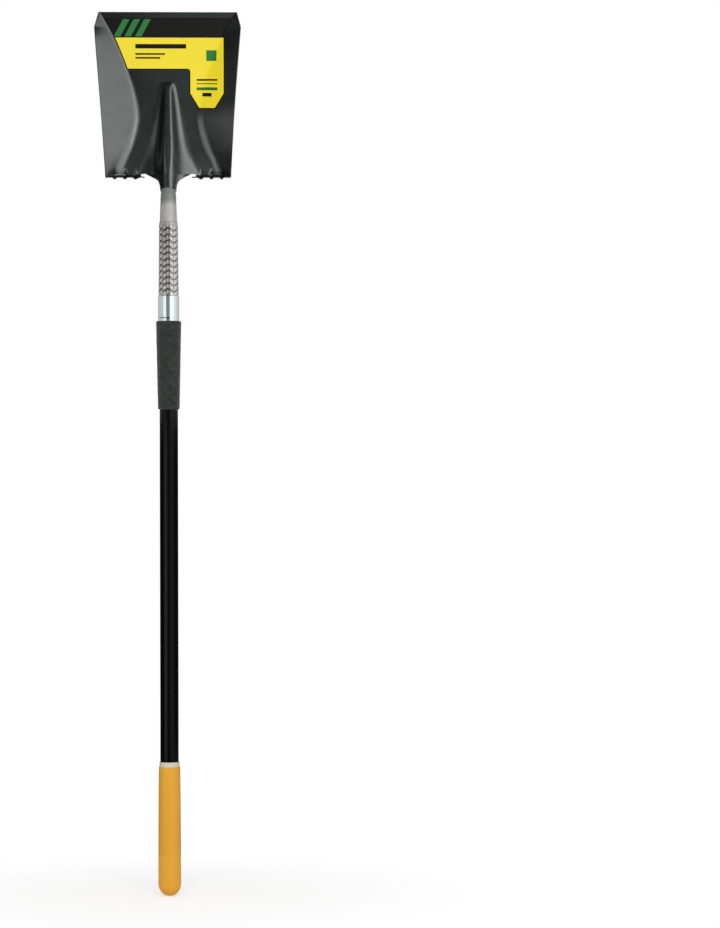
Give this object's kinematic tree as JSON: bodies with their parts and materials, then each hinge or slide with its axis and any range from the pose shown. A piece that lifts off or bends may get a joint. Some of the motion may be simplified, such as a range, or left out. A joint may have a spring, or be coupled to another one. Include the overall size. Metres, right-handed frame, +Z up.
{
  "type": "square mouth shovel",
  "caption": "Long-handled shovel with a square mouth, pressed steel blade, folded treads, tapered steel socket, bright ferrule, foam mid grip, round shaft and end grip.",
  "frame": {"origin": "on the handle's axis, in the plane of the two treads' foot faces, where the pegs of a rack hold the shovel", "axes": "+Z up along the handle's axis to the blade's mouth, +X to the right seen from the blade's hollow side, +Y to the back"},
  "size_m": [0.248, 0.0646, 1.4989],
  "materials": {
    "blade_steel": "satin powder coat with graphite pigment, dark grey-green",
    "weld": "coated over with the sleeve",
    "socket_steel": "metallic grey, matt near the blade and bright below",
    "ferrule_chrome": "bright plated",
    "shaft_fibreglass": "black, semi-gloss",
    "core_hardwood": "turned, bare",
    "plug_plastic": "moulded",
    "foam": "closed-cell foam, dull",
    "ring_plastic": "moulded, off-white",
    "grip_vinyl": "dipped vinyl, yellow-orange, satin",
    "rivet_steel": "zinc plated",
    "sticker": "printed film, glossy"
  },
  "bodies": {
    "root": {"blade": "blade_steel", "weld_bead": "weld", "socket_sleeve": "socket_steel", "ferrule": "ferrule_chrome", "shaft": "shaft_fibreglass", "core_plug": "core_hardwood", "end_plug": "plug_plastic", "foam_grip": "foam", "grip_ring": "ring_plastic", "end_grip": "grip_vinyl", "upper_rivet": "rivet_steel", "lower_rivet": "rivet_steel", "blade_label": "sticker"}
  },
  "joints": []
}
